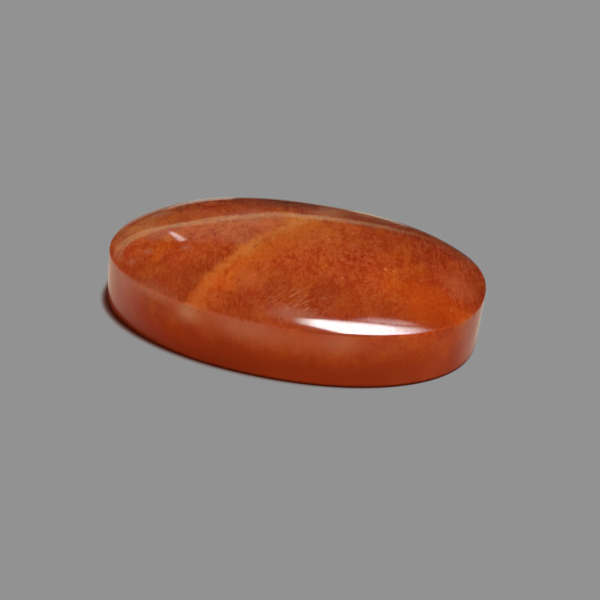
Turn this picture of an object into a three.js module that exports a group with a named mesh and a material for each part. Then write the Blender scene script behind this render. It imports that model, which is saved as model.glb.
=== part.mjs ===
// Sunstone cabochon: one piece of stone ground to an oval, with a flat back, an upright wall and a low dome.
// Millimetres, +Z up. The flat back lies on z = 0, the long way of the oval runs along X,
// and the origin is in the middle of the back.
import * as THREE from "three";
import { mergeVertices } from "three/addons/utils/BufferGeometryUtils.js";

// Size of the stone
const LENGTH = 30.0;
const WIDTH = 20.0;
const WALL_HEIGHT = 4.49; // from the back to the edge where the dome starts
const DOME_RISE = 2.87; // from that edge to the top of the dome

// Shape of the oval and of the dome
const OVAL_POWER = 2.24; // 2 is a plain ellipse; a little more gives the full corners of a hand-ground oval
const FULLER_BACK = 0.14; // the power is this much higher towards +Y, and lower towards -Y
const FULLER_END = 0.04; // the +X end is wider than the middle by this share, and the -X end narrower
const DOME_POWER = 3.61; // 2 is a round dome; more gives the flat top and steep shoulders
const WALL_LEAN = 0.18; // how far the edge of the dome stands towards +X of the back's edge

// Edges taken off in polishing
const BACK_BEVEL = 0.12;
const DOME_EDGE_EASE = 0.12;

// Fineness of the faceted surface
const TURN_STEPS = 96;
const DOME_STEPS = 24;

const STONE_COLOUR = 0xa8481c;

// Height of the dome at a share of the way from its middle, 0, to its edge, 1.
function domeHeight(share) {
  return WALL_HEIGHT + DOME_RISE * (1 - Math.pow(share, DOME_POWER));
}

// Half of the stone's section, from the middle of the back round to the top of the dome.
// The first number of each point is its share of the way out to the wall, the second its height.
function stoneProfile() {
  const bevelShare = 1 - BACK_BEVEL / (LENGTH / 2);
  const easedShare = 1 - DOME_EDGE_EASE / (LENGTH / 2);
  const points = [
    new THREE.Vector2(0, 0),
    new THREE.Vector2(bevelShare, 0),
    new THREE.Vector2(1, BACK_BEVEL),
    new THREE.Vector2(1, WALL_HEIGHT - DOME_EDGE_EASE),
  ];
  // Steps lie closer together towards the edge, where the dome curves most.
  for (let step = 0; step < DOME_STEPS; step += 1) {
    const share = easedShare * Math.cos((step / DOME_STEPS) * (Math.PI / 2));
    points.push(new THREE.Vector2(share, domeHeight(share)));
  }
  points.push(new THREE.Vector2(0, domeHeight(0)));
  return points;
}

// Keeps the sign of a number and raises its size to a power.
function signedPower(value, power) {
  return Math.sign(value) * Math.pow(Math.abs(value), power);
}

// Point of the oval in a direction, at a share of the way out from its middle.
function ovalPoint(turn, share) {
  const along = Math.cos(turn);
  const across = Math.sin(turn);
  const power = OVAL_POWER + FULLER_BACK * across;
  const x = (LENGTH / 2) * signedPower(along, 2 / power);
  const y = (WIDTH / 2) * signedPower(across, 2 / power) * (1 + FULLER_END * along);
  return { x: share * x, y: share * y };
}

// Sideways shift at a height, half of the lean each way, which keeps the origin in the middle.
function leanAt(height) {
  return WALL_LEAN * (Math.min(height / WALL_HEIGHT, 1) - 0.5);
}

// The round turned blank pressed to the oval, as one closed skin.
function stoneGeometry() {
  const blank = new THREE.LatheGeometry(stoneProfile(), TURN_STEPS);
  blank.rotateX(Math.PI / 2); // the lathe turns about Y, and the stone stands on Z
  blank.deleteAttribute("normal");
  blank.deleteAttribute("uv");
  const stone = mergeVertices(blank, 1e-6);
  const places = stone.getAttribute("position");
  for (let i = 0; i < places.count; i += 1) {
    const share = Math.hypot(places.getX(i), places.getY(i));
    const turn = Math.atan2(places.getY(i), places.getX(i));
    const height = places.getZ(i);
    const spot = ovalPoint(turn, share);
    places.setXYZ(i, spot.x + leanAt(height), spot.y, height);
  }
  stone.setIndex(withoutEmptyTriangles(stone.getIndex()));
  stone.computeVertexNormals();
  return stone;
}

// Drops the empty triangles that a turned surface has where it meets its axis.
function withoutEmptyTriangles(index) {
  const kept = [];
  for (let i = 0; i < index.count; i += 3) {
    const [a, b, c] = [index.getX(i), index.getX(i + 1), index.getX(i + 2)];
    if (a !== b && b !== c && c !== a) {
      kept.push(a, b, c);
    }
  }
  return kept;
}

function makeCabochon() {
  const polished = new THREE.MeshStandardMaterial({ color: STONE_COLOUR, roughness: 0.12, metalness: 0 });
  const cabochon = new THREE.Mesh(stoneGeometry(), polished);
  cabochon.name = "cabochon";
  return cabochon;
}

const model = new THREE.Group();
model.add(makeCabochon());

export default model;
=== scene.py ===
# %% [markdown]
# # A polished sunstone cabochon
#
# Sunstone is an orange feldspar with countless thin copper-red mineral plates in it. This one is cut as a
# cabochon: a flat back, an upright wall and a low dome, all polished. The lesson starts from the measured
# solid, which gives the stone's size and outline. It models the smooth surface and then builds its colours.

# %% Load the measured solid
import math

import bpy
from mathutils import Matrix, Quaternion, Vector


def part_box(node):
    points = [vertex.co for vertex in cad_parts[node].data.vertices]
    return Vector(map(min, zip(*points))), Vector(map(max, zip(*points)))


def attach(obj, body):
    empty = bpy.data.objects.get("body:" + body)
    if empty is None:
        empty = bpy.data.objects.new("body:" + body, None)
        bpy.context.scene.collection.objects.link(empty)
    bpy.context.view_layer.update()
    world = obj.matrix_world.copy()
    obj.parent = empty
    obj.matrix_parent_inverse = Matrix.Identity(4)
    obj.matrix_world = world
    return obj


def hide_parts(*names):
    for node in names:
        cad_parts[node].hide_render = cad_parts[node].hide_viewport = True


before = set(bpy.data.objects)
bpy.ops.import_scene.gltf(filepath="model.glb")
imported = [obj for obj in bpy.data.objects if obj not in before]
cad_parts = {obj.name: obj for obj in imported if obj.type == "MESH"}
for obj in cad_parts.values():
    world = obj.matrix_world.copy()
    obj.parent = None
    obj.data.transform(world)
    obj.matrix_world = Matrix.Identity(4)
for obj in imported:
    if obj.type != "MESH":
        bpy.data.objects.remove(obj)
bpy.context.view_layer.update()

MM = 0.001

# %% [markdown]
# ## The view
#
# A small stone is photographed from close by with a long lens, so that its outline isn't swollen in front.
# The camera looks down at 30 degrees from a little right of the stone's broad side and is tilted by four
# degrees. It could be pointed by hand in the viewport. Here it is worked out from those angles, so that it
# stays right when the stone's size changes. A small shift of the lens then sets the stone in the frame.

# %% Place the camera
VIEW_TURN = math.radians(12.03)
VIEW_HEIGHT = math.radians(30.0)
VIEW_TILT = math.radians(4.08)
VIEW_DISTANCE = 120 * MM
LENS = 89.66
AIM = Vector((0.11 * MM, 0, 0))
SHIFT = (0.0120, 0.0229)

towards_camera = Vector((
    math.sin(VIEW_TURN) * math.cos(VIEW_HEIGHT),
    -math.cos(VIEW_TURN) * math.cos(VIEW_HEIGHT),
    math.sin(VIEW_HEIGHT),
))
bpy.ops.object.select_all(action="DESELECT")
bpy.ops.object.camera_add(location=AIM + towards_camera * VIEW_DISTANCE)
camera = bpy.context.object
camera.rotation_mode = "QUATERNION"
camera.rotation_quaternion = towards_camera.to_track_quat("Z", "Y") @ Quaternion((0, 0, 1), VIEW_TILT)
camera.data.lens = LENS
camera.data.shift_x, camera.data.shift_y = SHIFT
camera.data.clip_start = 1 * MM
bpy.context.scene.camera = camera
print("camera at, mm:", [round(c / MM, 1) for c in camera.location])

# %% [markdown]
# ## The stone's sizes
#
# Length and width are read from the measured solid. The heights and the powers that shape the oval and the
# dome are the same as in the solid's source. An oval power of 2 would be a plain ellipse; a cutter who
# works by hand leaves a little more at the corners, here most at the back. A dome power of 2 would be a
# round dome; this one is flat on top with steep shoulders.

# %% Name the sizes
cad_low, cad_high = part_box("cabochon")
WALL_LEAN = 0.18 * MM
HALF_LENGTH = (cad_high.x - cad_low.x - WALL_LEAN) / 2
HALF_WIDTH = (cad_high.y - cad_low.y) / 2
TOP = cad_high.z
WALL_HEIGHT = 4.49 * MM
DOME_RISE = TOP - WALL_HEIGHT
OVAL_POWER = 2.24
FULLER_BACK = 0.14
FULLER_END = 0.04
DOME_POWER = 3.61
BACK_BEVEL = 0.12 * MM
EDGE_EASE = 0.07 * MM
TURN_STEPS = 256
WALL_STEPS = 12
DOME_STEPS = 72
print("half length and half width, mm:", round(HALF_LENGTH / MM, 2), round(HALF_WIDTH / MM, 2))

# %% [markdown]
# ## The blank
#
# A cutter first grinds a round or oval disc, the blank, and then works the dome ring by ring. The mesh is
# made in the same way: a circle is extruded up for the wall, then extruded and shrunk ring by ring for the
# dome. A subdivided sphere squashed flat would be quicker, but its rings wouldn't run along the sharp edge
# between the wall and the dome, which has to be crisp.

# %% Raise the wall
def dome_height(share):
    """Height of the dome at a share of the way from its middle to its edge."""
    return WALL_HEIGHT + DOME_RISE * (1 - share ** DOME_POWER)


def raise_ring(rise, shrink, height):
    """Extrudes the selected ring, lifts it and shrinks it about the stone's axis."""
    bpy.ops.mesh.extrude_region_move(TRANSFORM_OT_translate={"value": (0, 0, rise)})
    bpy.ops.transform.resize(value=(shrink, shrink, 1), center_override=(0, 0, height))


bpy.ops.object.select_all(action="DESELECT")
bpy.ops.mesh.primitive_circle_add(vertices=TURN_STEPS, radius=HALF_LENGTH, fill_type="NOTHING")
stone = bpy.context.object
stone.name = stone.data.name = "polished_stone"
bpy.ops.object.mode_set(mode="EDIT")
bpy.ops.mesh.select_all(action="SELECT")
for step in range(WALL_STEPS):
    raise_ring(WALL_HEIGHT / WALL_STEPS, 1, 0)
print("wall rings:", WALL_STEPS)

# %% Raise the dome
share, height = 1.0, WALL_HEIGHT
for step in range(1, DOME_STEPS + 1):
    next_share = 1 - step / (DOME_STEPS + 1)
    next_height = dome_height(next_share)
    raise_ring(next_height - height, next_share / share, next_height)
    share, height = next_share, next_height
bpy.ops.mesh.extrude_region_move(TRANSFORM_OT_translate={"value": (0, 0, TOP - height)})
bpy.ops.mesh.merge(type="CENTER")
bpy.ops.object.mode_set(mode="OBJECT")
print("dome rings:", DOME_STEPS, "top at, mm:", round(max(v.co.z for v in stone.data.vertices) / MM, 3))

# %% [markdown]
# ## The flat back
#
# The back could be closed with one face of 256 corners. Here it is closed with rings that shrink to the
# middle, so that there are only small, even faces there. The lowest ring is found by its height, to within
# a hair's breadth.

# %% Close the back
BACK_STEPS = 8
HAIR = 0.01 * MM
for vertex in stone.data.vertices:
    vertex.select = vertex.co.z < HAIR
bpy.ops.object.mode_set(mode="EDIT")
bpy.ops.mesh.select_mode(type="VERT")
for step in range(1, BACK_STEPS):
    raise_ring(0, (BACK_STEPS - step) / (BACK_STEPS - step + 1), 0)
bpy.ops.mesh.extrude_region_move()
bpy.ops.mesh.merge(type="CENTER")
bpy.ops.mesh.select_all(action="SELECT")
bpy.ops.mesh.normals_make_consistent(inside=False)
bpy.ops.object.mode_set(mode="OBJECT")
print("faces of the round blank:", len(stone.data.polygons))

# %% [markdown]
# ## Edges
#
# Polishing takes the sharpness off both edges: a small bevel round the back, which keeps it from chipping
# in a setting, and a hardly visible rounding where the wall meets the dome. A bevel modifier would give
# both the same width, so each ring of edges is picked by its height and bevelled by itself.

# %% Bevel the two edges
BEVEL_STEPS = 4


def bevel_ring(height, width):
    """Bevels the ring of edges that runs round the wall at a height."""
    mesh = stone.data
    for polygon in mesh.polygons:
        polygon.select = False
    for vertex in mesh.vertices:
        vertex.select = False
    for edge in mesh.edges:
        ends = [mesh.vertices[i].co for i in edge.vertices]
        level = all(abs(end.z - height) < HAIR for end in ends)
        outside = all(math.hypot(end.x, end.y) > HALF_LENGTH - HAIR for end in ends)
        edge.select = level and outside
    bpy.ops.object.mode_set(mode="EDIT")
    bpy.ops.mesh.select_mode(type="EDGE")
    bpy.ops.mesh.bevel(offset=width, segments=BEVEL_STEPS, profile=0.5, affect="EDGES")
    bpy.ops.object.mode_set(mode="OBJECT")


bevel_ring(WALL_HEIGHT, EDGE_EASE)
bevel_ring(0, BACK_BEVEL)
print("faces with both bevels:", len(stone.data.polygons))

# %% [markdown]
# ## From round to oval
#
# No operator draws the slightly squared, slightly lopsided oval of a hand-ground stone. So each point of
# the round blank is moved by a formula: its direction from the axis stays, and its distance becomes the
# oval's.

# %% Press the blank to the oval
def signed_power(value, power):
    """Raises a number's size to a power and keeps its sign."""
    return math.copysign(abs(value) ** power, value)


def oval_place(point):
    """Where a point of the round blank lies on the oval stone."""
    share = math.hypot(point.x, point.y) / HALF_LENGTH
    turn = math.atan2(point.y, point.x)
    along, across = math.cos(turn), math.sin(turn)
    power = OVAL_POWER + FULLER_BACK * across
    x = HALF_LENGTH * signed_power(along, 2 / power)
    y = HALF_WIDTH * signed_power(across, 2 / power) * (1 + FULLER_END * along)
    lean = WALL_LEAN * (min(point.z / WALL_HEIGHT, 1) - 0.5)
    return Vector((share * x + lean, share * y, point.z))


for vertex in stone.data.vertices:
    vertex.co = oval_place(vertex.co)
bpy.ops.object.shade_smooth()
print("finished stone, mm:", [round(side / MM, 2) for side in stone.dimensions])

# %% [markdown]
# ## Stone: how its colour is built
#
# The real stone is translucent: light goes in, is scattered, and comes out orange. Real glass with a cloud
# inside would show that, but it needs very many samples and turns grainy. So the body is scattered light
# just under the surface, and everything inside the stone is drawn in three dimensions through it: a vein
# drawn as a sheet in space runs on from the dome down the wall, as the real one does.
#
# The nodes could be added and wired by hand in the shader editor. A stone takes hundreds of them, so short
# helpers do it. The first three mix a colour, start a material and add a node.

# %% Start the stone's material
def paint(red, green, blue):
    """Turns a colour as seen on a screen, 0 to 255, into the linear numbers that a shader wants."""
    shares = (channel / 255 for channel in (red, green, blue))
    return tuple(((s + 0.055) / 1.055) ** 2.4 if s > 0.04 else s / 12.92 for s in shares) + (1,)


def new_material(name):
    """Makes a material, whose nodes the helpers below add to."""
    global tree
    made = bpy.data.materials.new(name)
    made.use_nodes = True
    tree = made.node_tree
    return made


def put(kind, inputs, **settings):
    """Adds a node. An input is a number or colour, or the output of another node, which is linked."""
    made = tree.nodes.new(kind)
    for name, value in settings.items():
        setattr(made, name, value)
    for name, value in inputs.items():
        if isinstance(value, bpy.types.NodeSocket):
            tree.links.new(value, made.inputs[name])
        else:
            made.inputs[name].default_value = value
    return made


sunstone = new_material("sunstone")
stone.data.materials.append(sunstone)
shader = tree.nodes["Principled BSDF"]
print("the stone's material:", sunstone.name)

# %% [markdown]
# ## Stone: places
#
# The pattern is measured in millimetres from the middle of the back. The mineral plates all grew parallel
# to one plane of the crystal, here the plane that stands upright and points at the viewer. So the place is
# also turned to that plane once, for the patterns that follow it. A pattern is squeezed or shifted by doing
# that to the place.

# %% Measure the place
def in_millimetres():
    """The place in the object, in millimetres."""
    metres = put("ShaderNodeTexCoord", {}).outputs["Object"]
    return put("ShaderNodeVectorMath", {0: metres, "Scale": 1 / MM}, operation="SCALE").outputs[0]


def turned(place, angle):
    """The place turned about the upright axis."""
    return put("ShaderNodeMapping", {"Vector": place, "Rotation": (0, 0, angle)}).outputs["Vector"]


def stretched(place, x, y, z):
    """The place with each direction multiplied, so that a pattern on it is squeezed there."""
    return put("ShaderNodeMapping", {"Vector": place, "Scale": (x, y, z)}).outputs["Vector"]


def moved(place, x, y, z):
    """The place shifted, so that a pattern on it is another part of the same cloud."""
    return put("ShaderNodeMapping", {"Vector": place, "Location": (x, y, z)}).outputs["Vector"]


place = in_millimetres()
grain_place = turned(place, -VIEW_TURN)
split = put("ShaderNodeSeparateXYZ", {"Vector": place}).outputs
along, across, up = split["X"], split["Y"], split["Z"]
print("nodes that measure the place:", len(tree.nodes))

# %% [markdown]
# ## Stone: shares
#
# Every marking is a colour laid over the body with a share from 0 to 1, like a glaze that is thin or thick.
# A share fades in and out in smooth steps, and where two things have to hold at once their shares are
# multiplied. Most markings start from a soft cloud or from a soft egg-shaped spot.

# %% Lay colours by shares
def calc(operation, *values):
    """One step of arithmetic on numbers."""
    return put("ShaderNodeMath", dict(enumerate(values)), operation=operation).outputs[0]


def both(first, second):
    """The product of two shares."""
    return calc("MULTIPLY", first, second)


def without(share, strength=1.0):
    """1 where there is none of a share, and less by this strength where the share is full."""
    return calc("MULTIPLY_ADD", share, -strength, 1.0)


def fade(value, start, end, low=0.0, high=1.0):
    """Goes smoothly from low to high while the value goes from start to end."""
    inputs = {"Value": value, "From Min": start, "From Max": end, "To Min": low, "To Max": high}
    return put("ShaderNodeMapRange", inputs, interpolation_type="SMOOTHSTEP").outputs["Result"]


def mix(share, below, above):
    """Lays one colour over another."""
    return put("ShaderNodeMix", {0: share, 6: below, 7: above}, data_type="RGBA").outputs[2]


def cloud(place, scale, detail=2.0, distortion=0.0):
    """Soft random patches, mostly from 0.3 to 0.7."""
    inputs = {"Vector": place, "Scale": scale, "Detail": detail, "Distortion": distortion}
    return put("ShaderNodeTexNoise", inputs).outputs["Fac"]


def ball(place, centre, radii):
    """1 in the middle of a soft egg-shaped spot and 0 outside it."""
    inverse = tuple(1 / r for r in radii)
    offset = put("ShaderNodeVectorMath", {0: place, 1: centre}, operation="SUBTRACT").outputs[0]
    share = put("ShaderNodeVectorMath", {0: offset, 1: inverse}, operation="MULTIPLY").outputs[0]
    distance = put("ShaderNodeVectorMath", {0: share}, operation="LENGTH").outputs["Value"]
    return fade(distance, 1.0, 0.0)


def lay_spots(below, spots):
    """Lays spots over a colour, one after another. Each has a middle, radii, a strength and a colour."""
    for centre, radii, strength, colour in spots.values():
        below = mix(both(ball(place, centre, radii), strength), below, paint(*colour))
    print("spots laid:", ", ".join(spots))
    return below


# %% [markdown]
# ## Stone: the body
#
# The body is a mix of deep red-brown and warm orange in soft patches some millimetres wide. Under the middle
# of the dome it is painted brighter, a painted glow of the light that gathers in the translucent stone, and
# it is bright at the left end too, where a pale band crosses it.

# %% Mix the body colour
patches = cloud(place, 0.25, detail=1.5)
body = mix(fade(patches, 0.40, 0.60), paint(164, 60, 18), paint(186, 78, 26))
body = lay_spots(body, {
    # Painted glow: the middle of the dome is painted lighter than its shoulders.
    "painted glow in the middle": ((-0.5, -1.0, 6.5), (11.0, 8.0, 6.0), 0.8, (210, 98, 36)),
    "bright left end": ((-11.5, 1.0, 6.0), (5.0, 5.0, 4.0), 0.8, (200, 98, 40)),
    "pale band": ((-13.0, -0.3, 5.6), (4.6, 2.6, 2.2), 0.95, (226, 138, 72)),
})
hue = cloud(moved(place, 7.0, 3.0, 1.0), 0.55, detail=2.5)
body = mix(fade(hue, 0.52, 0.66, 0.0, 0.6), body, paint(204, 100, 14))
body = mix(fade(hue, 0.47, 0.34, 0.0, 0.6), body, paint(174, 56, 24))

# %% [markdown]
# ## Stone: the sheet of the vein
#
# A paler sheet cuts through the whole stone, from the back right to the front left and down the wall. It
# could be a second object inside a clear stone. As a pattern it is lighter, and it meets the surface in the
# right line by itself: all it needs is how far a point lies to the right of the sheet. The sheet isn't
# flat, so its place along the stone is a cubic in the distance from its middle, with three smooth steps
# towards its ends, and a cloud ruffles it.

# %% Bend the sheet of the vein
VEIN_MIDDLE = (-2.6, -1.5)
VEIN_SLANT = 0.30
VEIN_BEND = 0.0045
VEIN_STEPS = ((-1.2, 3.8, 1.0), (-3.0, -5.4, -0.25), (-5.4, -7.8, 0.8))
VEIN_RUFFLE = 1.8

reach = calc("SUBTRACT", across, VEIN_MIDDLE[1])
sheet = calc("MULTIPLY_ADD", reach, VEIN_SLANT, VEIN_MIDDLE[0])
sheet = calc("MULTIPLY_ADD", calc("POWER", reach, 3.0), VEIN_BEND, sheet)
for start, end, step in VEIN_STEPS:
    sheet = calc("ADD", sheet, fade(reach, start, end, 0.0, step))
ruffle = calc("SUBTRACT", cloud(stretched(grain_place, 1.2, 0.6, 0.6), 1.0, detail=3.0), 0.5)
beside = calc("MULTIPLY_ADD", ruffle, VEIN_RUFFLE, calc("SUBTRACT", along, sheet))
print("nodes with the sheet:", len(tree.nodes))

# %% [markdown]
# ## Stone: the colours of the vein
#
# The left face of the vein is the sharper one, with browner stone before it. The vein itself is milky,
# palest just behind the middle, and browner and thinner towards the front. To the right of it the stone
# glows brighter for some millimetres. All of this fades down the wall. Each of these is one share, worked
# out from the distance to the sheet. A painted picture would have to be bent round the edge of the dome.

# %% Colour the vein
depth = fade(up, 2.4, 4.7)
brown = both(fade(beside, -3.5, -0.6), fade(beside, 0.3, -0.4))
brown = both(both(brown, depth), fade(across, 0.5, -3.5, 0.1, 0.6))
body = mix(brown, body, paint(154, 58, 16))
glow = both(both(fade(beside, -0.4, 0.3), fade(beside, 4.2, 0.8)), depth)
glow_share = both(fade(across, -8.5, -3.0, 0.35, 0.7), fade(across, 1.5, 4.0, 1.0, 0.4))
body = mix(both(glow, glow_share), body, paint(206, 106, 20))

milk = both(both(fade(beside, -0.7, 0.4), fade(beside, 1.4, 0.4)), depth)
milk = both(milk, fade(cloud(place, 0.7, detail=2.0), 0.35, 0.65, 0.4, 0.8))
milk = both(milk, both(fade(across, -8.0, -1.0, 0.7, 1.2), fade(across, 1.5, 4.0, 1.0, 0.5)))
milk_colour = mix(fade(across, -8.0, -3.0), paint(182, 110, 50), paint(208, 120, 48))
milk_colour = mix(fade(across, -1.5, 1.0), milk_colour, paint(212, 138, 70))
body = mix(milk, body, milk_colour)
body = lay_spots(body, {"front end of the vein": ((-4.8, -9.0, 4.9), (2.4, 1.6, 1.3), 0.6, (166, 84, 34))})

# %% [markdown]
# ## Stone: the grain
#
# A grain runs through body and vein alike, in three layers: a mottling of about a millimetre, a finer
# grain, and dots of about a fifth of a millimetre. Each has deeper and paler spots. One fine noise with
# much detail would be shorter, but its sizes could not be weighed against each other. The grain shows less
# through the wall, because more of the stone lies in front of it there, less in the glow beside the vein
# and a little less towards the left end.

# %% Mottle the stone
showing = both(fade(up, 3.9, 4.6, 0.4, 1.0), without(glow, 0.4))
showing = both(showing, fade(along, -9.0, -3.0, 0.8, 1.0))
mottle = cloud(stretched(grain_place, 1.2, 0.6, 1.0), 1.0, detail=1.0)
body = mix(both(showing, fade(mottle, 0.52, 0.34, 0.0, 0.36)), body, paint(160, 46, 6))
body = mix(both(showing, fade(mottle, 0.50, 0.68, 0.0, 0.26)), body, paint(202, 104, 50))
fine_grain = cloud(stretched(grain_place, 3.4, 1.8, 2.8), 1.0, detail=1.0)
body = mix(both(showing, fade(fine_grain, 0.50, 0.32, 0.0, 0.44)), body, paint(158, 42, 4))
body = mix(both(showing, fade(fine_grain, 0.50, 0.68, 0.0, 0.34)), body, paint(202, 104, 50))
dots = cloud(stretched(grain_place, 7.0, 3.8, 5.6), 1.0, detail=1.0)
body = mix(both(showing, fade(dots, 0.50, 0.32, 0.0, 0.36)), body, paint(158, 42, 4))
body = mix(both(showing, fade(dots, 0.50, 0.68, 0.0, 0.30)), body, paint(206, 108, 56))
print("nodes with the grain:", len(tree.nodes))

# %% [markdown]
# ## Stone: clear and cloudy places
#
# The stone isn't the same all over. The right end is clear and amber, and it is painted brighter there as a
# painted glow of the light that comes through the clear stone. Haze hangs near both tips and under the far
# shoulder, a pale painted glow lies at the front edge beside the long highlight, and the rim at the right is
# the deepest. Each place is a soft spot, laid on like a wash of thin paint. A single cloud pattern would
# scatter such places by chance, and they have to lie where the real stone has them.

# %% Add amber and haze
# Painted glow: the clear amber end is painted brighter where light passing through the stone gathers; its
# fewer plates are the stone's own.
amber = ball(place, (10.8, -4.6, 5.4), (4.6, 3.4, 3.4))
body = mix(both(amber, 0.75), body, paint(190, 76, 10))
body = lay_spots(body, {
    "haze at the right": ((12.7, -0.8, 5.2), (2.4, 2.6, 2.0), 0.4, (205, 118, 74)),
    "haze at the left": ((-11.2, -1.8, 6.0), (2.8, 2.2, 2.5), 0.35, (205, 125, 85)),
})
haze_back = ball(place, (4.4, 6.4, 6.6), (5.0, 2.6, 2.6))
body = mix(both(haze_back, 0.85), body, paint(194, 128, 94))
body = lay_spots(body, {
    "right tip": ((14.6, 1.2, 5.0), (2.2, 5.5, 2.2), 0.55, (128, 42, 14)),
    "right rim": ((15.3, -0.2, 4.8), (1.0, 4.5, 0.8), 0.7, (112, 34, 12)),
    "left tip": ((-13.9, -1.6, 5.0), (1.8, 3.0, 1.6), 0.4, (205, 112, 68)),
    "deep right half": ((10.0, 1.0, 6.0), (7.0, 7.5, 4.0), 0.4, (158, 44, 0)),
    "deep amber": ((12.6, -4.9, 4.9), (2.6, 2.6, 1.8), 0.6, (160, 52, 2)),
    # Painted glow: the long highlight's light spreads over the surface beside its left end, painted into the
    # colour.
    "painted glow beside the highlight": ((2.4, -9.1, 5.3), (3.6, 1.0, 1.1), 0.6, (206, 146, 120)),
})

# %% [markdown]
# ## Stone: the top and the far shoulder
#
# Over the top of the dome lie thin mists and warmer places, most of them beside the vein. Behind them the far
# shoulder is painted darker, as painted shade where less light comes back out of the stone, and at the left
# back the grain turns coarse: brown fibres with orange between them.

# %% Add mists and the far shoulder
mist_back = ball(place, (1.4, 5.0, 7.0), (2.6, 3.0, 2.2))
body = mix(both(mist_back, 0.6), body, paint(190, 134, 102))
body = lay_spots(body, {
    "mist at the far shoulder": ((6.2, 6.3, 6.5), (2.6, 1.8, 2.0), 0.5, (180, 140, 118)),
    "mist left of the vein": ((-4.2, 1.6, 7.3), (2.6, 2.6, 2.0), 0.3, (172, 112, 90)),
    "warm top": ((0.6, 0.2, 7.3), (3.6, 3.4, 2.0), 0.3, (214, 120, 58)),
    "warm place left of the vein": ((-2.3, 0.4, 7.3), (2.2, 1.7, 1.5), 0.4, (208, 112, 56)),
    "milk at the top of the vein": ((-1.0, 1.9, 7.35), (1.7, 1.7, 1.2), 0.6, (222, 134, 60)),
    "warm streak": ((-8.4, 1.1, 7.0), (3.6, 1.3, 1.6), 0.5, (204, 104, 58)),
    # Painted shade: the far shoulder is painted darker at the right and at the left back.
    "painted shade at the right back": ((5.6, 4.2, 7.0), (4.5, 2.2, 2.0), 0.35, (128, 46, 14)),
    "painted shade at the left back": ((-5.0, 4.0, 6.9), (4.5, 2.0, 2.0), 0.3, (118, 48, 22)),
})
left_back = ball(place, (-9.0, 3.4, 6.2), (7.0, 3.4, 2.4))
body = mix(both(left_back, fade(fine_grain, 0.50, 0.36, 0.0, 0.9)), body, paint(132, 42, 8))
body = mix(both(left_back, fade(mottle, 0.50, 0.62, 0.0, 0.7)), body, paint(206, 106, 34))
body = lay_spots(body, {
    "smudge at the left back": ((-11.8, 1.4, 6.1), (2.0, 1.0, 1.2), 0.45, (204, 150, 116)),
})

# %% [markdown]
# ## Stone: the wall
#
# The light reaches the foot of the wall through all of the stone, so it comes out deep red there, and a
# little lighter at both ends, where there is less stone. Upright streaks make that change uneven. Just
# under the edge the wall is cloudy, and palest where the vein comes out.

# %% Deepen the foot of the wall
streaks = cloud(stretched(grain_place, 0.8, 0.6, 0.2), 1.0, detail=2.0)
foot_level = calc("MULTIPLY_ADD", calc("SUBTRACT", streaks, 0.5), 1.4, up)
deep_foot = both(fade(foot_level, 4.3, 1.0), fade(along, 6.0, 14.0, 0.95, 0.7))
foot_colour = mix(fade(along, -1.0, -8.0), paint(143, 46, 17), paint(156, 51, 21))
foot_colour = mix(fade(along, -12.0, -14.5), foot_colour, paint(176, 66, 30))
foot_colour = mix(fade(along, 10.5, 13.5), foot_colour, paint(164, 54, 20))
body = mix(deep_foot, body, foot_colour)

under_edge = both(both(fade(foot_level, 2.0, 3.8), fade(up, 4.7, 4.5)), fade(along, 11.5, 5.0, 0.2, 1.0))
cloudy = fade(cloud(moved(place, 2.0, 9.0, 4.0), 0.35, detail=1.0), 0.40, 0.60, 0.25, 0.6)
body = mix(both(under_edge, cloudy), body, paint(178, 92, 56))
middle_haze = ball(place, (-1.4, -9.9, 4.0), (4.6, 2.5, 1.5))
body = mix(both(middle_haze, both(under_edge, 0.6)), body, paint(184, 108, 76))
right_haze = ball(place, (6.0, -9.6, 3.9), (2.4, 2.5, 1.4))
body = mix(both(right_haze, both(under_edge, 0.6)), body, paint(184, 108, 76))
vein_end = ball(place, (-5.9, -9.2, 3.9), (1.6, 2.0, 1.4))
body = mix(both(vein_end, both(under_edge, 0.9)), body, paint(196, 124, 84))
pale_edge = ball(place, (-9.2, -8.0, 4.4), (3.6, 3.0, 1.0))
body = mix(both(pale_edge, both(fade(up, 3.4, 4.0), 0.6)), body, paint(194, 122, 86))
print("nodes with the wall:", len(tree.nodes))

# %% [markdown]
# ## Stone: where the light is lost
#
# Towards the back of the stone and just behind the front edge the light hardly comes through, so the colour
# there is painted darker, as painted shade. A warm place and a milky place in the vein stay light between
# them. Next to the floor the wall is nearly black, most of all at the left, and under the right part of the
# long highlight the edge shows as a thin dark line, a painted dark reflection of the floor in front. A real
# floor would shade the foot by itself, but this one shines, as its own cell says, so that dark band is part
# of the stone's colour. It stops at the flat back.

# %% Take light away
back = both(both(fade(across, 2.5, 6.0), fade(up, 3.5, 5.0)), fade(along, -8.5, -2.0))
back = both(both(back, without(haze_back)), fade(along, 3.0, 6.0, 0.8, 0.4))
back = both(back, without(mist_back, 0.8))
body = mix(back, body, paint(112, 58, 40))
front = both(both(fade(across, -4.0, -7.5), fade(up, 4.4, 4.6)), without(glow))
body = mix(both(front, 0.5), body, paint(128, 48, 18))
body = lay_spots(body, {
    "warm place behind the front edge": ((-1.9, -7.0, 6.4), (2.2, 1.7, 1.5), 0.5, (204, 108, 50)),
    "milk in the middle of the vein": ((-2.9, -4.0, 7.1), (1.1, 1.3, 1.0), 0.5, (216, 132, 66)),
})
lowest = both(fade(up, 1.8, 0.3), fade(along, 3.0, -6.0))
body = mix(both(lowest, 0.45), body, paint(104, 24, 6))
shade_height = fade(along, -5.0, -14.0, 0.34, 0.8)
shade = both(fade(calc("DIVIDE", up, shade_height), 1.0, 0.1), fade(up, 0.0, 0.03))
body = mix(both(shade, 0.9), body, paint(64, 14, 4))
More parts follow.
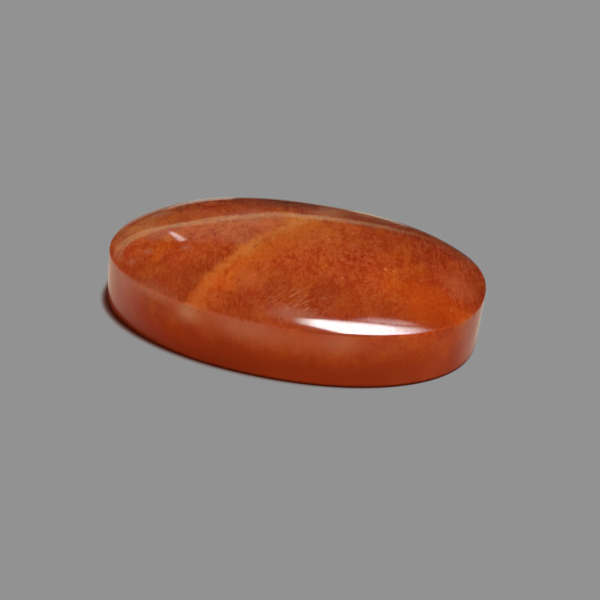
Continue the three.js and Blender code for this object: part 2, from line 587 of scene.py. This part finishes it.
# Painted reflection: a thin dark line along the edge, where it mirrors the dark floor in front.
dark_edge_reflection = both(both(fade(up, 4.40, 4.48), fade(up, 4.62, 4.52)), fade(across, -4.0, -6.0))
dark_edge_reflection = both(dark_edge_reflection, both(fade(along, 2.5, 5.0), fade(along, 9.5, 6.5)))
body = mix(both(dark_edge_reflection, 0.3), body, paint(76, 14, 10))
print("nodes with the shading:", len(tree.nodes))

# %% [markdown]
# ## Stone: the mineral plates
#
# The plates are a few tenths of a millimetre long and very thin, and from above they show as short dark-red
# strokes. They could be thousands of small meshes inside the stone. Here each cell of a Voronoi pattern
# holds one plate at a random size, and a cloud bends the cells, so that the plates' edges are ragged. The
# ones just under the surface are sharp, the milky stone blurs the deeper ones, and dust lies between them.
# The clear amber end has fewer.

# %% Scatter the plates
ragged = put("ShaderNodeTexNoise", {"Vector": grain_place, "Scale": 3.0, "Detail": 2.0}).outputs["Color"]
bending = {0: ragged, 1: (0.35, 0.45, 0.35), 2: grain_place}
ragged_place = put("ShaderNodeVectorMath", bending, operation="MULTIPLY_ADD").outputs[0]


def plates(cell, size, blur, shift):
    """1 where a plate lies, and a chance tone for each. The cell is the room of one plate, in millimetres."""
    room = stretched(moved(ragged_place, *shift), *(1 / side for side in cell))
    cells = put("ShaderNodeTexVoronoi", {"Vector": room, "Scale": 1.0, "Randomness": 1.0})
    luck = put("ShaderNodeSeparateColor", {"Color": cells.outputs["Color"]}).outputs
    radius = both(calc("POWER", luck["Red"], 1.5), size)
    return fade(calc("SUBTRACT", radius, cells.outputs["Distance"]), 0.0, blur), luck["Green"]


crowd = both(fade(cloud(place, 0.3, detail=2.0), 0.38, 0.62, 0.5, 1.0), without(amber, 0.4))
crowd = both(crowd, fade(up, 3.8, 4.6, 0.4, 1.0))
deep_plates, deep_tone = plates(cell=(0.60, 1.2, 0.9), size=0.50, blur=0.30, shift=(3.1, 0.7, 1.9))
body = mix(both(deep_plates, both(crowd, fade(deep_tone, 0.2, 0.8, 0.2, 0.6))), body, paint(150, 36, 8))
dust, dust_tone = plates(cell=(0.22, 0.42, 0.34), size=0.44, blur=0.20, shift=(0.3, 4.4, 2.2))
body = mix(both(dust, both(crowd, fade(dust_tone, 0.3, 0.8, 0.15, 0.65))), body, paint(148, 34, 6))
sharp_plates, sharp_tone = plates(cell=(0.40, 0.85, 0.6), size=0.34, blur=0.10, shift=(1.7, 2.3, 0.4))
body = mix(both(sharp_plates, both(crowd, fade(sharp_tone, 0.2, 0.8, 0.1, 0.5))), body, paint(138, 32, 6))
specks, speck_tone = plates(cell=(0.48, 0.85, 0.75), size=0.42, blur=0.26, shift=(2.9, 5.3, 0.6))
busy = both(both(fade(along, -9.0, -4.0, 0.2, 1.0), without(glow, 0.7)), fade(up, 4.4, 4.8))
body = mix(both(specks, both(busy, fade(speck_tone, 0.3, 0.7, 0.1, 0.85))), body, paint(142, 36, 8))
print("nodes with the plates:", len(tree.nodes))

# %% [markdown]
# ## Stone: strokes and fibres at the right back
#
# At the right back the plates are seen nearly edge on. They crowd together there as long thin strokes, with
# deep and pale fibres between them, and a little mist lies over the rim.

# %% Draw the strokes and fibres
right_back = ball(place, (11.0, 3.5, 6.0), (8.0, 7.0, 4.0))
strokes, stroke_tone = plates(cell=(0.20, 1.4, 1.0), size=0.50, blur=0.25, shift=(6.1, 2.7, 0.9))
body = mix(both(strokes, both(right_back, fade(stroke_tone, 0.2, 0.8, 0.3, 1.0))), body, paint(122, 28, 6))
fibres = cloud(stretched(grain_place, 4.5, 0.9, 1.2), 1.0, detail=2.0)
body = mix(both(right_back, fade(fibres, 0.50, 0.34, 0.0, 0.7)), body, paint(134, 34, 4))
body = mix(both(right_back, fade(fibres, 0.50, 0.66, 0.0, 0.5)), body, paint(196, 92, 44))
body = lay_spots(body, {"mist at the right back": ((11.4, 4.4, 5.8), (3.6, 1.5, 1.3), 0.5, (170, 86, 46))})

# %% [markdown]
# ## Stone: glints and a feather
#
# A few plates lie so that they catch the light and show as pale specks, most of them gathered right of the
# middle. Near the front edge a healed crack, which cutters call a feather, shows as a tuft of thin lines: a
# cloud stretched along a leaning direction and cut at one value. Their pale colour is a painted highlight,
# where the fine lines catch the light of the long softbox beside them. Three small pale smudges lie near the
# left end of the edge.

# %% Add glints and the feather
glints, glint_tone = plates(cell=(0.36, 0.6, 0.6), size=0.42, blur=0.16, shift=(5.2, 1.1, 3.3))
gathered = ball(place, (4.0, -2.8, 7.0), (7.0, 4.0, 3.0))
glints = both(both(glints, fade(up, 4.6, 5.0)), fade(gathered, 0.0, 0.8, 0.2, 1.0))
body = mix(both(glints, fade(glint_tone, 0.45, 0.8, 0.0, 0.75)), body, paint(230, 146, 88))

FEATHER_LEAN = math.radians(-35)
leaning = turned(grain_place, FEATHER_LEAN)
wisp = cloud(stretched(leaning, 0.7, 3.2, 2.0), 1.0, detail=4.0, distortion=0.9)
# Painted highlight: the feather's thin lines are painted pale where they catch the softbox's light.
feather = both(ball(place, (2.2, -8.0, 5.9), (3.4, 2.0, 1.7)), fade(wisp, 0.47, 0.66))
body = mix(both(feather, 0.45), body, paint(204, 146, 106))
SMUDGES = ((-10.7, -4.5, 5.8), (-11.7, -5.2, 5.1), (-7.6, -4.3, 6.7))
for centre in SMUDGES:
    body = mix(both(ball(place, centre, (0.7, 0.6, 0.6)), 0.35), body, paint(190, 128, 88))
print("pale smudges:", len(SMUDGES))

# %% [markdown]
# ## Stone: polish
#
# Feldspar bends light by 1.54, and the polish is high, with the least unevenness in it. A clear coat over
# the stone would shine as well, but a polished stone has no coat, so the gloss is the body's own. The
# scattering reaches furthest in red, which gives thin places and edges their warm light.

# %% Finish the stone's material
tree.links.new(body, shader.inputs["Base Color"])
polish = cloud(place, 0.8, detail=4.0)
tree.links.new(fade(polish, 0.3, 0.7, 0.05, 0.09), shader.inputs["Roughness"])
shader.inputs["IOR"].default_value = 1.54
shader.inputs["Subsurface Weight"].default_value = 1.0
shader.inputs["Subsurface Radius"].default_value = (1.0, 0.3, 0.1)
shader.inputs["Subsurface Scale"].default_value = 0.4 * MM
print("nodes in the stone:", len(tree.nodes))

# %% [markdown]
# ## The floor, as the camera sees it
#
# The stone lies on plain grey paper that looks the same brightness everywhere and takes only a small warm
# contact shadow, widest at the stone's left. Lamps would leave the paper uneven. So the paper shines by
# itself, as a light table does, and is darkened close to the stone by how much of the sky to its right the
# stone hides.

# %% Lay the floor
PAPER = paint(146, 146, 146)
PAPER_SIDE = 4
PAPER_LEVEL = -0.02 * MM
SHADOW_WIDTH = 1.15 * MM
LEAN_RIGHT, LEAN_UP = 0.6, 0.8

bpy.ops.object.select_all(action="DESELECT")
bpy.ops.mesh.primitive_plane_add(size=PAPER_SIDE, location=(0, 0, PAPER_LEVEL))
floor = bpy.context.object
floor.name = "floor"
floor.data.materials.append(new_material("paper"))
tree.nodes.remove(tree.nodes["Principled BSDF"])

to_right = put("ShaderNodeCombineXYZ", {
    "X": LEAN_RIGHT * math.cos(VIEW_TURN), "Y": LEAN_RIGHT * math.sin(VIEW_TURN), "Z": LEAN_UP,
}).outputs["Vector"]
open_sky = {"Distance": SHADOW_WIDTH, "Normal": to_right}
sky = put("ShaderNodeAmbientOcclusion", open_sky, samples=32).outputs["AO"]
seen = mix(fade(sky, 0.45, 0.70), paint(112, 80, 70), PAPER)
seen = mix(fade(sky, 0.32, 0.60), paint(56, 14, 6), seen)
print("floor, m:", [round(side, 2) for side in floor.dimensions])

# %% [markdown]
# ## The floor, as the stone mirrors it
#
# What a polished stone shows of its surroundings is another matter. It mirrors a bright warm floor beside
# it and behind it, brightest near the left end and dimmer at the right, and a dark floor in front. Far
# behind, two bright wedges of floor fan out to the left and to the right. They make the pale rim along the
# far outline, which is missing in the middle. Two papers, each hidden from one kind of ray, would do as
# well. Here one paper has two colours, which is simpler to lay, and the Light Path node tells what the
# camera sees from what the stone mirrors.
#
# The place on the floor is measured in millimetres, sideways and away from the camera.

# %% Light the mirrored floor
floor_place = turned(in_millimetres(), -VIEW_TURN)
floor_split = put("ShaderNodeSeparateXYZ", {"Vector": floor_place}).outputs
sideways, away = floor_split["X"], floor_split["Y"]
distance = put("ShaderNodeVectorMath", {0: floor_place}, operation="LENGTH").outputs["Value"]

lit = both(fade(calc("MULTIPLY_ADD", sideways, 0.15, away), -10.5, -4.0), fade(distance, 80.0, 26.0))
lit = both(lit, without(both(fade(sideways, 8.0, 16.0), fade(away, 5.0, 13.0, 0.0, 0.8))))
lit = both(lit, without(both(fade(sideways, 9.0, 13.0), fade(away, -4.5, -7.5, 0.0, 0.6))))
lit = both(both(lit, fade(sky, 0.66, 0.95)), fade(away, 4.0, 9.0, 1.0, 0.7))


def wedge(start, left_side, right_side, reach):
    """1 in a wedge of far floor that fans out from beside the stone between two soft slanting sides."""
    slant = calc("DIVIDE", calc("ADD", sideways, start), away)
    inside = both(fade(slant, *left_side), fade(slant, *right_side))
    return both(inside, both(fade(away, 14.0, 22.0), fade(distance, reach, 0.65 * reach)))


lit = calc("MAXIMUM", lit, wedge(4.0, (-0.33, -0.27), (-0.07, -0.10), 170.0))
lit = calc("MAXIMUM", lit, wedge(-4.0, (0.04, 0.07), (0.26, 0.21), 90.0))
near_left = both(fade(sideways, -13.0, -17.0), fade(away, 10.0, 5.0))
bright_floor = mix(near_left, paint(200, 187, 170), paint(224, 204, 184))
bright_floor = mix(fade(away, 12.0, 22.0), bright_floor, paint(192, 189, 176))
ray = put("ShaderNodeLightPath", {}).outputs
mirrored = mix(both(lit, ray["Is Glossy Ray"]), paint(56, 30, 22), bright_floor)
shine = put("ShaderNodeEmission", {"Color": mix(ray["Is Camera Ray"], mirrored, seen)}).outputs[0]
tree.links.new(shine, tree.nodes["Material Output"].inputs["Surface"])
print("nodes in the paper:", len(tree.nodes))

# %% [markdown]
# ## Light
#
# Two kinds of lamp do two jobs. Broad soft suns light the body of the stone and are left out of its mirror
# image. Cards give the mirror image and don't light the body: a polished stone shows its lamps, and their
# shape there is the shape of the highlights.
#
# A direction is given as seen from the stone: how far it is turned to the right of straight away from the
# camera, and how high it stands.

# %% Place the suns
def seen_from_stone(turn, height):
    """Direction from the stone, turned right from straight away from the camera and this high up."""
    bearing = math.radians(turn) - VIEW_TURN
    level = math.cos(math.radians(height))
    return Vector((math.sin(bearing) * level, math.cos(bearing) * level, math.sin(math.radians(height))))


SUN_SOFTNESS = math.radians(40)
SUNS = {
    "key_front_right": (140, 55, 2.5),
    "fill_front_left": (215, 20, 2.2),
    "fill_right": (110, 20, 1.3),
    "fill_back": (-20, 30, 0.9),
}
for name, (turn, height, strength) in SUNS.items():
    direction = seen_from_stone(turn, height)
    bpy.ops.object.select_all(action="DESELECT")
    bpy.ops.object.light_add(type="SUN", location=direction * 0.5)
    sun = bpy.context.object
    sun.name = name
    sun.rotation_mode = "QUATERNION"
    sun.rotation_quaternion = direction.to_track_quat("Z", "Y")
    sun.data.angle = SUN_SOFTNESS
    sun.data.energy = strength
    sun.visible_glossy = False
print("suns:", len(SUNS))

# %% [markdown]
# ## How a card is hung
#
# A plain rectangle of light would show in the dome as a bent band with even ends. The highlights of this
# stone are slim and pointed, so each card is cut to shape: a flat grid whose lower and upper sides follow
# two routes of directions, hung at a distance from the stone. It shines by itself and fades towards its
# four sides. Its left part can be dimmer, which is then the share of the brightness that is left there. The
# camera doesn't see it.

# %% Shape a card
CARD_STEPS = (64, 4)
DIMMER_PART = (0.31, 0.47)


def along_route(route, share):
    """The direction at a share of the way along a list of directions."""
    spot = share * (len(route) - 1)
    first = min(int(spot), len(route) - 2)
    start, end = (seen_from_stone(*route[first + side]) for side in (0, 1))
    return start.lerp(end, spot - first)


def shine_card(colour, brightness, soft_sides, dimmer):
    """Gives a card its light, which fades towards its left, right, low and high side over these shares."""
    left, right, low, high = soft_sides
    spot = put("ShaderNodeSeparateXYZ", {"Vector": put("ShaderNodeUVMap", {}).outputs["UV"]}).outputs
    ends = both(fade(spot["X"], 0.0, left), fade(spot["X"], 1.0, 1.0 - right))
    sides = both(fade(spot["Y"], 0.0, low), fade(spot["Y"], 1.0, 1.0 - high))
    level = fade(spot["X"], *DIMMER_PART, dimmer * brightness, brightness)
    strength = both(both(ends, sides), level)
    shine = put("ShaderNodeEmission", {"Color": colour, "Strength": strength}).outputs[0]
    tree.links.new(shine, tree.nodes["Material Output"].inputs["Surface"])


def hang_card(name, lower, upper, far, colour, brightness, soft_sides, dimmer=1.0):
    """Hangs a glowing card between two routes of directions, this many metres from the stone."""
    bpy.ops.object.select_all(action="DESELECT")
    bpy.ops.mesh.primitive_grid_add(x_subdivisions=CARD_STEPS[0], y_subdivisions=CARD_STEPS[1], size=1)
    card = bpy.context.object
    card.name = name
    for vertex in card.data.vertices:
        rightwards, upwards = vertex.co.x + 0.5, vertex.co.y + 0.5
        direction = along_route(lower, rightwards).lerp(along_route(upper, rightwards), upwards)
        vertex.co = direction * far
    card.data.materials.append(new_material(name))
    tree.nodes.remove(tree.nodes["Principled BSDF"])
    shine_card(colour, brightness, soft_sides, dimmer)
    card.visible_camera = False
    card.visible_diffuse = False
    print("card hung:", name)


# %% [markdown]
# ## The long highlight
#
# One long softbox hangs above the front right and makes the white highlight along the front edge. Light
# spills onto the cloth above it and makes a dim glow over the highlight's right half.

# %% Hang the softbox
COOL_WHITE = (0.86, 0.95, 0.96, 1)
WHITE = (1, 1, 1, 1)
hang_card(
    "softbox",
    [(-152, 62.5), (-166, 62.9), (-176, 62.3), (172, 59.9), (150, 57), (123, 52), (96, 46.5)],
    [(-149, 68.2), (-163, 71), (-175, 73), (165, 73.8), (138, 72.6), (115, 66), (90, 53.2)],
    far=1.4, colour=COOL_WHITE, brightness=23.0, soft_sides=(0.28, 0.28, 0.18, 0.26),
)
hang_card(
    "softbox_glow",
    [(165, 72), (140, 70), (122, 66.5), (108, 63), (97, 57)],
    [(150, 78), (119, 76.5), (103, 71.3), (96, 64.5), (92, 56.5)],
    far=1.5, colour=WHITE, brightness=5.2, soft_sides=(0.35, 0.3, 0.1, 0.7),
)

# %% [markdown]
# ## The line round the dome
#
# A low strip far behind the stone makes the thin pale line that runs round the back of the dome and down to
# its left end. Its route rises and falls with that line, and its left part is dimmer. Its light is a little
# green, because over the orange of the stone it then looks like warm white.

# %% Hang the far strip
PALE_GREEN = (0.85, 1.1, 0.65, 1)
hang_card(
    "far_strip",
    [
        (-64, 30), (-54, 24), (-45, 18.5), (-36, 12.5), (-29, 10.2), (-24, 12.4),
        (-20, 17.8), (-14, 21.2), (-9, 22), (-3.5, 22.3), (-1, 20.5), (3, 17.6),
        (7, 13), (10.5, 9), (13.2, 3.8), (15.5, -2.6), (18, -9),
    ],
    [
        (-64, 34), (-54, 30), (-45, 25), (-38, 21.5), (-32, 21.8), (-26, 23.6),
        (-21, 24.8), (-15.5, 26.1), (-9, 25.8), (-3.5, 25.1), (-1, 24.5), (3, 22.2),
        (7, 18.8), (10.5, 15.8), (13.2, 10.6), (15.5, 4.4), (18, -2),
    ],
    far=1.2, colour=PALE_GREEN, brightness=1.0, soft_sides=(0.2, 0.53, 0.25, 0.25), dimmer=0.58,
)

# %% [markdown]
# ## The short streak and the veil
#
# A narrow upright card at the left makes the short bright streak, and a wide dim card lays a thin veil of
# light over the top of the dome.

# %% Hang the upright card and the dim card
CREAM = (1, 0.95, 0.6, 1)
hang_card(
    "upright_card",
    [(-21.8, 24.8), (-20.2, 24.6)],
    [(-25.5, 38.4), (-20.4, 36.4)],
    far=1.0, colour=WHITE, brightness=4.2, soft_sides=(0.3, 0.3, 0.45, 0.06),
)
hang_card(
    "dim_card",
    [(-34, 23), (-15, 23.5), (2, 23)],
    [(-34, 34), (-20, 42), (-4, 37)],
    far=1.4, colour=CREAM, brightness=0.4, soft_sides=(0.25, 0.15, 0.1, 0.4),
)

# %% [markdown]
# ## The dark room
#
# The stone mirrors a room that is nearly dark, so that the top of the dome shows the stone and not the
# room. The camera sees the same grey beyond the floor as on it. The standard view shows the colours as they
# were mixed, where the usual one would soften them as film does.

# %% Darken the room
ROOM = (0.03, 0.03, 0.03, 1)
world = bpy.data.worlds.new("studio")
bpy.context.scene.world = world
world.use_nodes = True
tree = world.node_tree
for_camera = put("ShaderNodeLightPath", {}).outputs["Is Camera Ray"]
tree.links.new(mix(for_camera, ROOM, PAPER), tree.nodes["Background"].inputs["Color"])
bpy.context.scene.view_settings.view_transform = "Standard"
print("room:", world.name)

# %% [markdown]
# ## Hand over
#
# The stone stands for the measured solid and moves with it. The sizes before and after are written down, to
# show that the finished stone fills the same box.

# %% Finish
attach(stone, "root")
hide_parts("cabochon")
